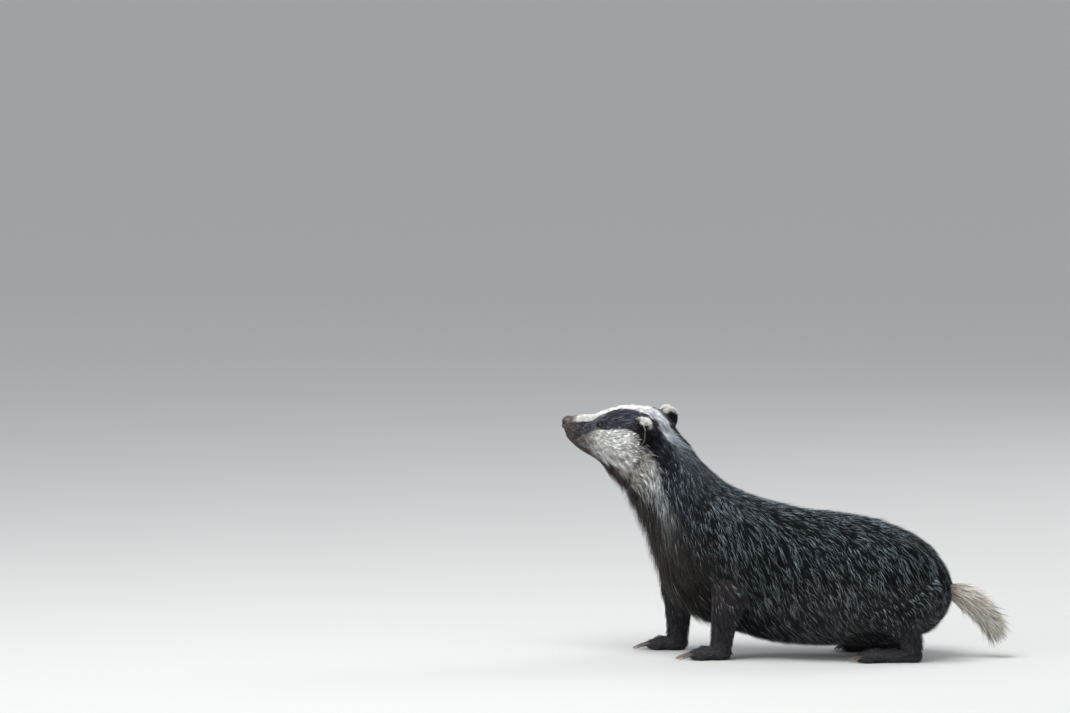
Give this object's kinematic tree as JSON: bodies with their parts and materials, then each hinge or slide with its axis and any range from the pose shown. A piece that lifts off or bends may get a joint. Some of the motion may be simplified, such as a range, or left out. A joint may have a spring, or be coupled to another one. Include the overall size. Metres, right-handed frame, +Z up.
{
  "type": "european badger model",
  "caption": "Life-size still model of a European badger standing alert with raised neck, striped face, grizzled coat and pale tail.",
  "frame": {"origin": "middle of the model's footprint, on the floor under the belly", "axes": "+Z up, the nose points along -X and the tail along +X, the animal's left side is -Y"},
  "size_m": [0.6354, 0.1867, 0.3465],
  "materials": {
    "grizzled_coat": "coarse bristly hair, pale shafts banded black, charcoal overall",
    "face_fur": "short flat fur, cream white with a black stripe through each eye",
    "leg_fur": "short dense black hair",
    "tail_fur": "long loose cream hair",
    "nose_skin": "moist pebbled skin, brown grey",
    "eye": "wet, dark brown to black",
    "claw_horn": "smooth horn, dark at the root and paler at the tip"
  },
  "bodies": {
    "root": {"torso": "grizzled_coat", "neck": "grizzled_coat", "head": "face_fur", "nose": "nose_skin", "ear_left": "face_fur", "ear_right": "face_fur", "eye_left": "eye", "eye_right": "eye", "tail": "tail_fur", "foreleg_left": "leg_fur", "claw_fore_left_1": "claw_horn", "claw_fore_left_2": "claw_horn", "claw_fore_left_3": "claw_horn", "claw_fore_left_4": "claw_horn", "claw_fore_left_5": "claw_horn", "foreleg_right": "leg_fur", "claw_fore_right_1": "claw_horn", "claw_fore_right_2": "claw_horn", "claw_fore_right_3": "claw_horn", "claw_fore_right_4": "claw_horn", "claw_fore_right_5": "claw_horn", "hindleg_left": "leg_fur", "claw_hind_left_1": "claw_horn", "claw_hind_left_2": "claw_horn", "claw_hind_left_3": "claw_horn", "claw_hind_left_4": "claw_horn", "claw_hind_left_5": "claw_horn", "hindleg_right": "leg_fur", "claw_hind_right_1": "claw_horn", "claw_hind_right_2": "claw_horn", "claw_hind_right_3": "claw_horn", "claw_hind_right_4": "claw_horn", "claw_hind_right_5": "claw_horn"}
  },
  "joints": []
}
